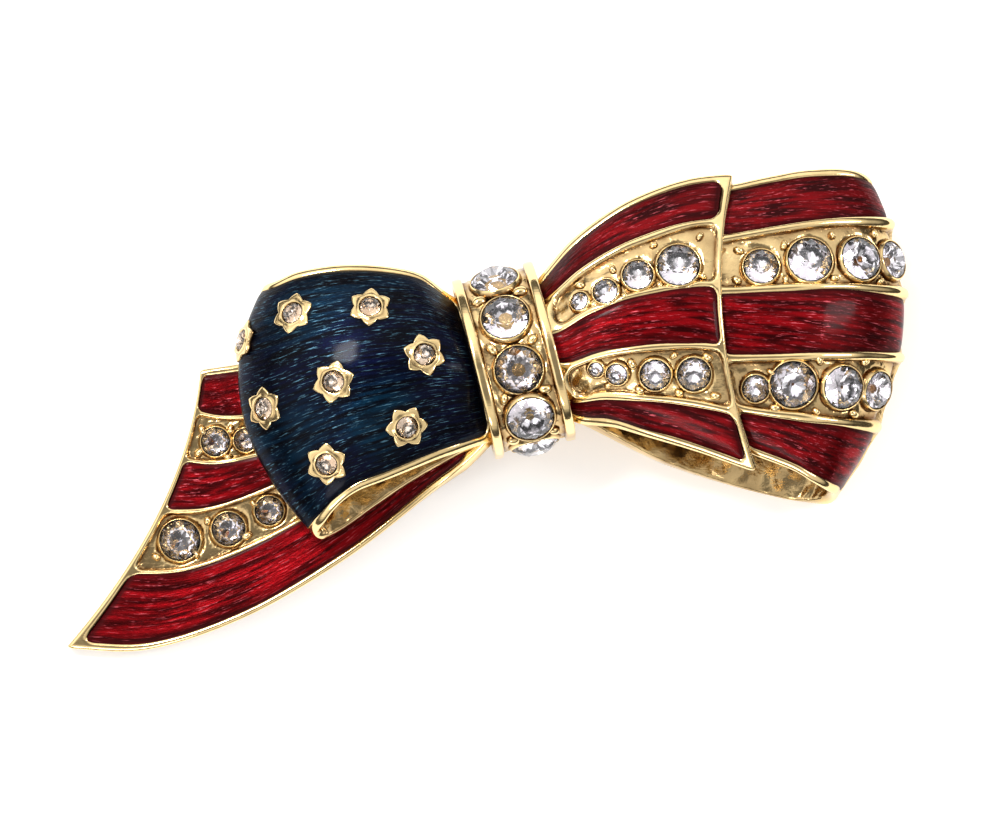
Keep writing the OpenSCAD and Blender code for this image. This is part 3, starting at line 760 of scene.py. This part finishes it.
# The band.
def on_band(turn, out, across):
    """The band's ring, a superellipse grown by out: its lower part is shorter and fuller than
    its upper part, and its back is flatter than its front. It runs along the band's own two
    directions in plan and outward from the knot's middle."""
    up = np.sin(turn) > 0
    power = np.where(up, BAND_POWERS[1], BAND_POWERS[0])
    long = BAND_L * np.where(up, BAND_PARTS[1], BAND_PARTS[0]) + out
    high = np.where(np.cos(turn) > 0, BOW_D - BAND_MID[2], BAND_BACK) + out
    r = (np.abs(np.sin(turn)) ** power + np.abs(np.cos(turn)) ** power) ** (1 / power)
    run = long * np.sin(turn) / r
    rise = high * np.cos(turn) / r
    return (np.asarray(across)[..., None] * BAND_ACROSS + run[..., None] * BAND_ALONG
            + rise[..., None] * OUTWARD + BAND_MID)


def band_frames(turns, across, lift):
    """Frames on the band at turns in degrees, whose axis is the cross product of its direction
    across and its direction round."""
    turns = np.radians(turns)
    flat = 0 * turns
    step = on_band(turns + 0.01, flat, across) - on_band(turns - 0.01, flat, across)
    width = on_band(turns, flat, across + 1) - on_band(turns, flat, across)
    out = unit(np.cross(width, step))
    centre = on_band(turns, flat, across) + lift * out
    return turned_frames(centre, unit(width), out)


def knot_band(name, gold):
    """The band: lands along both edges, an uneven floor between them with a pit under each
    stone, and a plain inner face. Each is a height over the ring at a place across it, and the
    mask is painted shade, strongest at the lands and in the pits."""
    half = BAND_W / 2
    s = crowded(LAND_COLUMNS)
    floor = np.linspace(BAND_RIM - half, half - BAND_RIM, 31)[1:-1]
    flat = 0 * floor
    side = np.concatenate([BAND_RIM / 2 * (1 + s) - half, floor, half - BAND_RIM / 2 * (1 - s)])
    strip = land(s, BAND_BLUNT)
    top = np.concatenate([np.where(s < 0, 1, strip), flat, np.where(s > 0, 1, strip)])
    fall = np.concatenate([np.where(s < 0, 1 - strip, 0), flat, np.where(s > 0, 1 - strip, 0)])
    turn = circle(260)[:, None]
    arc = turn * BAND_RADIAN
    plain = -CHANNEL_D * (1 - top) - BAND_FALL * fall
    plain = plain + (1 - top) * ripple(BAND_FLOOR_RIPPLE, arc, side)
    plain = plain + ripple(BAND_RIPPLE, arc, side)
    ring = on_band(turn, 0 * plain, side + 0 * turn)
    centres = band_frames(BAND_STONE_TURNS, 0 * BAND_STONE_TURNS, 0)[:, 0]
    out = pitted(ring, plain, centres, [STONE_D] * len(centres), deepest=2.0)
    # Painted shade: darker on the floor, most beside the lands and in the pits.
    near = fading(half - BAND_RIM - np.abs(side), BAND_SHADE_REACH)
    shade_mask = (1 - top) * (BAND_SHADE + (1 - BAND_SHADE) * near)
    shade_mask = np.maximum(shade_mask, np.clip((plain - out) * PIT_SHADE, 0, 1))
    inner_side = np.linspace(half, -half, 5) * 0.98
    inner = np.repeat(np.minimum(-BAND_T, out.min(1, keepdims=True) - 0.05), len(inner_side), 1)
    sides = np.concatenate([side, inner_side])
    maps = np.stack(np.broadcast_arrays(arc, sides), -1)
    # The inner face gets an even painted shade.
    mask = np.concatenate([shade_mask, np.full(inner.shape, 0.6)], 1)
    shell = Shell()
    points = on_band(turn, np.concatenate([out, inner], 1), sides + 0 * turn)
    shell.quads(shell.add(points, maps, mask), flip=True, rows_closed=True, columns_closed=True)
    return shell.build(name, gold)


def waist(name, gold):
    """The waist under the band: the band's ring shrunk by its thickness and a small gap, closed
    at both ends by its middle."""
    reach = BAND_W / 2 - 0.1
    turn = circle(64)[None, :]
    across = np.linspace(-reach, reach, 9)[:, None] + 0 * turn
    shell = Shell()
    out = np.full(across.shape, -BAND_T - SOLDER_GAP)
    # The waist lies under the band and is all in painted shade.
    numbers = shell.add(on_band(turn, out, across), mask=0.7)
    shell.quads(numbers, flip=True, columns_closed=True)
    middles = shell.add(BAND_MID + np.array([[-reach], [reach]]) * BAND_ACROSS, mask=0.7)
    shell.fan(numbers[0], middles[0])
    shell.fan(numbers[-1], middles[1], flip=True)
    return shell.build(name, gold)


# Stones.
def corners_round(radius, height, shift, count=8):
    """Corners at even angles on a level circle, turned by a share of the angle between two."""
    turn = (np.arange(count) + shift) * 2 * np.pi / count
    return np.stack([radius * np.cos(turn), radius * np.sin(turn), np.full(count, height)], -1)


def facets(*corners):
    """One face for each place round the stone, from the numbers of its corners there."""
    return np.stack(np.broadcast_arrays(*corners), -1).tolist()


def brilliant(crown=0.17, pavilion=FOIL_SHARE, table=0.56, girdle=GIRDLE_SHARE):
    """A round brilliant of diameter 1 with its girdle's top at z = 0: rings of corners for the
    table, the star points, both edges of the girdle and the lower points, and the culet. Star
    points and lower points lie in the planes of the main facets, so their heights are shares of
    the crown and of the pavilion. Gives the points, and the faces over and under the girdle."""
    star_r = 0.385
    lower_r = 0.13
    lean = math.cos(math.pi / 8)
    star_z = crown * (0.5 - star_r * lean) / (0.5 - table / 2)
    lower_z = -girdle - pavilion * (1 - lower_r * lean / 0.5)
    points = np.vstack([
        corners_round(table / 2, crown, 0), corners_round(star_r, star_z, 0.5),
        corners_round(0.5, 0, 0, 16), corners_round(0.5, -girdle, 0, 16),
        corners_round(lower_r, lower_z, 0.5), [[0, 0, -girdle - pavilion]],
    ])
    tables, stars, tops, lows, lowers, culet = np.split(np.arange(57), (8, 16, 32, 48, 56))
    stars_before = np.roll(stars, 1)
    lowers_before = np.roll(lowers, 1)
    top, top_mid = tops.reshape(8, 2).T
    low, low_mid = lows.reshape(8, 2).T
    top_next = np.roll(top, -1)
    low_next = np.roll(low, -1)
    over = [tables.tolist(), *facets(tables, stars, np.roll(tables, -1)),
            *facets(tables, stars_before, top, stars), *facets(stars, top, top_mid),
            *facets(stars, top_mid, top_next)]
    under = [*facets(top, low, low_mid, top_mid), *facets(top_mid, low_mid, low_next, top_next),
             *facets(low, lowers, low_mid), *facets(low_mid, lowers, low_next),
             *facets(culet, lowers, low, lowers_before)]
    return points, over, under


def stone(name, place, diameter, glass, foil):
    """One cut stone, its points times its diameter along the place's own directions: clear over
    the girdle and backed with foil under it."""
    points, over, under = brilliant()
    mesh = bpy.data.meshes.new(name)
    mesh.from_pydata((place[0] + diameter * (points @ place[1:]) + KNOT) * METRE, [], over + under)
    mesh.materials.append(glass)
    mesh.materials.append(foil)
    mesh.polygons.foreach_set("material_index", [0] * len(over) + [1] * len(under))
    mesh.update()
    return linked(name, mesh)


# Materials.
def add(tree, kind, settings=None, **inputs):
    """A node with its settings, and its inputs set to values or joined to sockets."""
    node = tree.nodes.new(kind)
    for key, value in (settings or {}).items():
        setattr(node, key, value)
    for key, value in inputs.items():
        join(tree, node.inputs[key.replace("_", " ")], value)
    return node


def join(tree, socket, value):
    """A socket set to a value, or joined to another socket."""
    if isinstance(value, bpy.types.NodeSocket):
        tree.links.new(value, socket)
    else:
        socket.default_value = value


def maths(tree, operation, a, b, clamp=False):
    """The sum, difference or product of two values, kept between 0 and 1 if asked."""
    node = add(tree, "ShaderNodeMath", {"operation": operation, "use_clamp": clamp})
    join(tree, node.inputs[0], a)
    join(tree, node.inputs[1], b)
    return node.outputs[0]


def blend_colours(tree, share, a, b):
    """The first colour and a share of the second. A mix node's colours are its sockets 6, 7
    and 2, after those for its other kinds of value."""
    node = add(tree, "ShaderNodeMix", {"data_type": "RGBA"})
    join(tree, node.inputs[0], share)
    join(tree, node.inputs[6], a)
    join(tree, node.inputs[7], b)
    return node.outputs[2]


def span(tree, value, low, high, to_low=0.0, to_high=1.0):
    """A smooth step between two values, as the value goes from low to high."""
    return add(tree, "ShaderNodeMapRange", {"interpolation_type": "SMOOTHSTEP"}, Value=value,
               From_Min=low, From_Max=high, To_Min=to_low, To_Max=to_high).outputs["Result"]


def noise(tree, vector, scale, detail=2.0, roughness=0.5):
    """Smooth noise from 0 to 1, with scale waves to the metre."""
    return add(tree, "ShaderNodeTexNoise", None, Vector=vector, Scale=scale, Detail=detail,
               Roughness=roughness).outputs[0]


def scaled(tree, vector, scale):
    """A vector with each of its parts times that of the scale."""
    node = add(tree, "ShaderNodeVectorMath", {"operation": "MULTIPLY"})
    join(tree, node.inputs[0], vector)
    join(tree, node.inputs[1], scale)
    return node.outputs[0]


def group(name, inputs, outputs):
    """An empty shader group that takes a vector and named numbers and gives named numbers, with
    the sockets at both its ends."""
    tree = bpy.data.node_groups.new(name, "ShaderNodeTree")
    tree.interface.new_socket(name="Vector", in_out="INPUT", socket_type="NodeSocketVector")
    for socket in inputs:
        tree.interface.new_socket(name=socket, in_out="INPUT", socket_type="NodeSocketFloat")
    for socket in outputs:
        tree.interface.new_socket(name=socket, in_out="OUTPUT", socket_type="NodeSocketFloat")
    return tree, tree.nodes.new("NodeGroupInput").outputs, tree.nodes.new("NodeGroupOutput").inputs


def metal_wear_and_shade():
    """Painted shade in the hollows and tarnish in clouds, uneven gloss, and the height of fine
    scratches and of the grain in the hollows."""
    tree, given, result = group("Metal shade, tarnish and scratches", ("Shade", "Grain"), ("Shade_and_tarnish", "Gloss", "Height"))
    clouds = noise(tree, given["Vector"], 420.0, 3.0)
    specks = maths(tree, "MULTIPLY", noise(tree, given["Vector"], 2600.0), given["Shade"])
    scratches = noise(tree, scaled(tree, given["Vector"], (0.25, 3.0, 1.0)), 1500.0, 2.0, 0.7)
    patchy = maths(tree, "MULTIPLY", maths(tree, "SUBTRACT", clouds, 0.48), 0.9)
    # Painted shade: the mask darkens the hollows, and the clouds add tarnish to it.
    shade_and_tarnish = maths(tree, "ADD", maths(tree, "MULTIPLY", given["Shade"], 0.95), patchy, True)
    join(tree, result["Shade_and_tarnish"], shade_and_tarnish)
    join(tree, result["Gloss"], maths(tree, "MULTIPLY", scratches, clouds))
    grainy = maths(tree, "MULTIPLY", specks, given["Grain"])
    scratched = maths(tree, "MULTIPLY", scratches, 0.12)
    join(tree, result["Height"], maths(tree, "ADD", scratched, grainy))
    return tree


def foil_streaks():
    """Engraved lines seen through enamel: noise drawn out along the map, with broad patches."""
    tree, given, result = group(
        "Foil streaks", ("Along", "Across"), ("Streaks", "Patches", "Height"),
    )
    pace = add(tree, "ShaderNodeCombineXYZ", None, X=given["Along"], Y=given["Across"], Z=1.0)
    drawn = scaled(tree, given["Vector"], pace.outputs[0])
    lines = noise(tree, drawn, 1.0, 3.0, 0.65)
    broad = noise(tree, drawn, 0.28)
    join(tree, result["Streaks"], span(tree, lines, 0.56, 0.75))
    join(tree, result["Patches"], span(tree, broad, 0.36, 0.66))
    join(tree, result["Height"], lines)
    return tree


def material(name):
    """A new empty material, its nodes, and the place on the piece."""
    made = bpy.data.materials.new(name)
    made.use_nodes = True
    tree = made.node_tree
    tree.nodes.clear()
    return made, tree, add(tree, "ShaderNodeTexCoord").outputs["Object"]


def shade(tree, **values):
    """The material's Principled shader, with its values and joined sockets, on the output."""
    shader = add(tree, "ShaderNodeBsdfPrincipled", None, **values)
    add(tree, "ShaderNodeOutputMaterial", None, Surface=shader.outputs[0])


def gold_metal(name, wear_and_shade, bright, deep, gloss, grain):
    """Gold plate: bright on the lands, and darker with painted shade, duller and grainy in the
    hollows.
    """
    made, tree, place = material(name)
    painted_shade = add(tree, "ShaderNodeAttribute", {"attribute_name": "painted_shade"}).outputs["Fac"]
    worn_and_shaded = add(tree, "ShaderNodeGroup", {"node_tree": wear_and_shade}, Vector=place, Shade=painted_shade,
               Grain=grain).outputs
    rough = maths(tree, "ADD", gloss, maths(tree, "MULTIPLY", worn_and_shaded["Gloss"], 0.22))
    rough = maths(tree, "ADD", rough, maths(tree, "MULTIPLY", painted_shade, 0.14))
    bump = add(tree, "ShaderNodeBump", None, Strength=0.5, Distance=0.00012, Height=worn_and_shaded["Height"])
    # The colour runs from bright to deep with the painted shade and the tarnish.
    shade(tree, Base_Color=blend_colours(tree, worn_and_shaded["Shade_and_tarnish"], bright, deep), Metallic=1.0,
          Roughness=rough, Normal=bump.outputs[0])
    return made


def enamel_glaze(name, streaks, along, across, dark, middle, other, light):
    """Translucent enamel over engraved metal: a streaked metallic base under a glossy coat,
    with painted shade along the metal walls and round the stars, and broad patches of another
    colour."""
    made, tree, place = material(name)
    chart = add(tree, "ShaderNodeUVMap", {"uv_map": "Along"}).outputs[0]
    near = add(tree, "ShaderNodeAttribute", {"attribute_name": "painted_shade"}).outputs["Fac"]
    drawn = add(tree, "ShaderNodeGroup", {"node_tree": streaks}, Vector=chart, Along=along,
                Across=across).outputs
    broad = span(tree, noise(tree, place, 110.0, 1.0), 0.46, 0.66)
    body = blend_colours(tree, drawn["Patches"], dark, blend_colours(tree, broad, middle, other))
    gathered = maths(tree, "MULTIPLY", drawn["Streaks"],
                     span(tree, noise(tree, place, 260.0, 1.0), 0.3, 0.6, 0.35, 1.0))
    lit = blend_colours(tree, gathered, body, light)
    # Painted shade: the mask darkens the enamel towards the dark colour along the walls and round
    # the stars.
    shaded = blend_colours(tree, maths(tree, "MULTIPLY", near, 0.9), lit, dark)
    rough = maths(tree, "ADD", 0.3, maths(tree, "MULTIPLY", near, 0.2))
    bump = add(tree, "ShaderNodeBump", None, Strength=0.6, Distance=0.0001, Height=drawn["Height"])
    shade(tree, Base_Color=shaded, Metallic=0.8, Roughness=rough, Specular_IOR_Level=0.1,
          Coat_Weight=0.18, Coat_Roughness=0.12, Coat_IOR=1.35, Normal=bump.outputs[0])
    return made


def clear_glass(name):
    """Cut glass, with the faintest uneven tint."""
    made, tree, place = material(name)
    tint = noise(tree, place, 700.0)
    shade(tree, Base_Color=blend_colours(tree, tint, (1.0, 0.98, 1.0, 1), (0.96, 0.97, 1.0, 1)),
          Roughness=0.0, IOR=1.58, Transmission_Weight=1.0)
    return made


def foil_back(name, cool, warm, share):
    """The foil behind a stone: bright metal whose tint drifts from stone to stone."""
    made, tree, place = material(name)
    drift = span(tree, noise(tree, place, 520.0), 0.5 - share, 1.2 - share)
    rough = maths(tree, "MULTIPLY", noise(tree, place, 3000.0), 0.2)
    shade(tree, Base_Color=blend_colours(tree, drift, cool, warm), Metallic=1.0, Roughness=rough)
    return made


def pale_floor(name):
    """A pale matt base that is lit a little from within, like a light table."""
    made, tree, place = material(name)
    grey = blend_colours(tree, noise(tree, place, 90.0), (0.9, 0.9, 0.9, 1), (0.92, 0.92, 0.92, 1))
    shade(tree, Base_Color=grey, Roughness=0.9, Specular_IOR_Level=0.1,
          Emission_Color=(1.0, 1.0, 1.0, 1), Emission_Strength=0.3)
    return made


# The pieces.
WEAR_AND_SHADE = metal_wear_and_shade()
STREAKS = foil_streaks()
GOLD = gold_metal(
    "polished_gold", WEAR_AND_SHADE, bright=(1.0, 0.74, 0.36, 1), deep=(0.14, 0.05, 0.009, 1),
    gloss=0.06, grain=1.0,
)
HAMMERED = gold_metal(
    "hammered_gold", WEAR_AND_SHADE, bright=(0.95, 0.68, 0.26, 1), deep=(0.25, 0.11, 0.02, 1),
    gloss=0.14, grain=1.6,
)
RED = enamel_glaze(
    "red_enamel", STREAKS, along=8.0, across=75.0, dark=(0.03, 0.0, 0.0004, 1),
    middle=(0.27, 0.002, 0.005, 1), other=(0.15, 0.0005, 0.002, 1), light=(1.0, 0.16, 0.20, 1),
)
NAVY = enamel_glaze(
    "blue_enamel", STREAKS, along=7.0, across=80.0, dark=(0.0, 0.0002, 0.0025, 1),
    middle=(0.0005, 0.002, 0.017, 1), other=(0.001, 0.018, 0.040, 1), light=(0.13, 0.30, 0.42, 1),
)
GLASS = clear_glass("clear_glass")
FOIL = foil_back(
    "silver_foil", cool=(1.0, 0.97, 1.0, 1), warm=(1.0, 0.92, 0.85, 1), share=0.1,
)
WARM_FOIL = foil_back(
    "warm_foil", cool=(0.93, 0.84, 0.74, 1), warm=(0.80, 0.58, 0.38, 1), share=0.3,
)


def keep(piece, slot, *nodes):
    """The piece rides on the brooch and stands for its nodes; its slot is not used."""
    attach(piece, "root")
    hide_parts(*nodes)


def keep_stones(name, places, sizes, foil):
    """A stone at each place, numbered from 1, each standing for its own node."""
    for k, (place, size) in enumerate(zip(places, sizes), 1):
        keep(stone(f"{name}_stone_{k}", place, size, GLASS, foil), "stone", f"stone_{name}_{k}")


STAR_SIZES = np.full(len(STARS), STAR_STONE)
SHORT_SIZES = SHORT_STONES[:, 2] * STONE_D
LOOP_SIZES = LOOP_STONES[:, 2] * STONE_D
TAIL_SIZES = TAIL_STONES[:, 2] * STONE_D
BAND_SIZES = np.full(len(BAND_STONE_TURNS), STONE_D)

for rib, name, sizes, places in (
    (BLUE, "blue_loop", STAR_SIZES, STARS),
    (TAIL, "long_tail", TAIL_SIZES, TAIL_STONES),
    (SHORT, "short_end", SHORT_SIZES, SHORT_STONES),
    (LOOP, "right_loop", LOOP_SIZES, LOOP_STONES),
):
    keep(casting(rib, name, GOLD, sizes, places), "gold", "cast_ribbon")
keep(waist("waist", GOLD), "gold", "cast_ribbon")
keep(star_settings("star_settings", GOLD), "gold", "cast_ribbon")
keep(enamel(BLUE, 0, "blue_enamel_field", NAVY, np.linspace(-1, 1, 61),
            frames_on(BLUE, STARS)[:, 0]), "blue_enamel", "blue_enamel")
for rib, name in ((TAIL, "tail"), (SHORT, "short"), (LOOP, "loop")):
    for k in (1, 2, 3):
        keep(enamel(rib, 2 * k - 2, f"red_stripe_{name}_{k}", RED, crowded(17)), "red_enamel",
             f"red_enamel_{name}_{k}")

collars = Shell()
grains = Shell()
rng = np.random.default_rng(12)
for rib, name, places, sizes, grain_places in (
    (SHORT, "short", SHORT_STONES, SHORT_SIZES, SHORT_GRAINS),
    (LOOP, "loop", LOOP_STONES, LOOP_SIZES, LOOP_GRAINS),
    (TAIL, "tail", TAIL_STONES, TAIL_SIZES, TAIL_GRAINS),
):
    seats = frames_on(rib, places, -SINK, rng.uniform(0, 45, len(places)))
    cups(collars, seats, sizes)
    beads(grains, frames_on(rib, grain_places, -SINK), GRAIN_D)
    keep_stones(name, seats, sizes, FOIL)
keep(collars.build("stone_cups", GOLD), "gold", "cast_ribbon")
keep(grains.build("bead_grains", GOLD), "gold", "cast_ribbon")
star_seats = frames_on(BLUE, STARS, STAR_RISE, rng.uniform(0, 45, len(STARS)))
keep_stones("star", star_seats, STAR_SIZES, WARM_FOIL)

keep(knot_band("band_ring", GOLD), "gold", "knot_band")
band_seats = band_frames(BAND_STONE_TURNS, 0 * BAND_STONE_TURNS, -SINK)
band_collars = Shell()
cups(band_collars, band_seats, BAND_SIZES)
keep(band_collars.build("band_cups", GOLD), "gold", "knot_band")
grain_turns = np.repeat((BAND_STONE_TURNS[1:] + BAND_STONE_TURNS[:-1]) / 2, 2)
beside = np.tile([-1, 1], len(grain_turns) // 2) * BAND_W / 4
band_grains = Shell()
beads(band_grains, band_frames(grain_turns, beside, -SINK), BAND_GRAIN_D)
keep(band_grains.build("band_beads", GOLD), "gold", "knot_band")
keep_stones("band", band_seats, BAND_SIZES, FOIL)

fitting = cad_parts["pin_finding"]
fitting.data.materials.clear()
fitting.data.materials.append(HAMMERED)


# Floor, light and camera.
def floor_sheet(name, finish, size=3.0):
    """A square sheet round the frame's origin, which the brooch lies on."""
    mesh = bpy.data.meshes.new(name)
    h = size / 2
    mesh.from_pydata([(-h, -h, 0), (h, -h, 0), (h, h, 0), (-h, h, 0)], [], [(0, 1, 2, 3)])
    mesh.materials.append(finish)
    linked(name, mesh)


def towards(place, target):
    """The turn of a lamp or camera at a place that looks at the target."""
    return (Vector(target) - Vector(place)).to_track_quat("-Z", "Y").to_euler()


def softbox(name, place, width, height, power):
    """A soft oval lamp that looks at the frame's origin."""
    lamp = bpy.data.lights.new(name, "AREA")
    lamp.shape = "ELLIPSE"
    lamp.size = width
    lamp.size_y = height
    lamp.energy = power
    made = linked(name, lamp)
    made.location = place
    made.rotation_euler = towards(place, (0, 0, 0))


def studio_world(name, low=0.1, side=1.15, top=0.25):
    """A soft studio in grey: dim near the floor, bright at the sides, less bright overhead, and
    brighter to the left and behind. Each change is a smooth step of the direction's height."""
    world = bpy.data.worlds.new(name)
    world.use_nodes = True
    tree = world.node_tree
    way = add(tree, "ShaderNodeTexCoord").outputs["Generated"]
    split = add(tree, "ShaderNodeSeparateXYZ", None, Vector=way).outputs
    height = maths(tree, "ADD", span(tree, split[2], 0.25, 0.55, low, side),
                   span(tree, split[2], 0.88, 0.985, 0.0, top - side))
    lean = maths(tree, "ADD", maths(tree, "MULTIPLY", split[0], -0.4),
                 maths(tree, "MULTIPLY", split[1], 0.25))
    light = maths(tree, "MULTIPLY", height, maths(tree, "ADD", lean, 1.0))
    grey = add(tree, "ShaderNodeCombineColor", None, Red=light, Green=light, Blue=light)
    join(tree, tree.nodes["Background"].inputs[0], grey.outputs[0])
    bpy.context.scene.world = world


floor_sheet("floor", pale_floor("pale_floor"))
softbox("key_softbox", (-0.22, 0.24, 0.60), 0.20, 0.12, 2.2)
softbox("fill_softbox", (0.45, 0.10, 0.45), 0.12, 0.25, 0.8)
softbox("low_softbox", (-0.10, -0.45, 0.40), 0.30, 0.10, 0.5)
studio_world("studio")

# The camera looks down at a place AIM off the knot, from a long way off, and its lens takes in
# VIEW_W there.
AIM = np.array([-1.40, -2.79, 6.5])
VIEW_W = 0.0838
DISTANCE = 0.9
ELEVATION = math.radians(82)
SENSOR = 36.0
TARGET = Vector(((KNOT + AIM) * METRE).tolist())
camera = bpy.data.cameras.new("camera")
camera.sensor_width = SENSOR
camera.lens = SENSOR * DISTANCE / VIEW_W
camera.clip_start = 0.01
camera.clip_end = 10
viewer = linked("camera", camera)
viewer.location = TARGET + DISTANCE * Vector((0, -math.cos(ELEVATION), math.sin(ELEVATION)))
viewer.rotation_euler = towards(viewer.location, TARGET)
bpy.context.scene.camera = viewer
bpy.context.scene.view_settings.view_transform = "Standard"
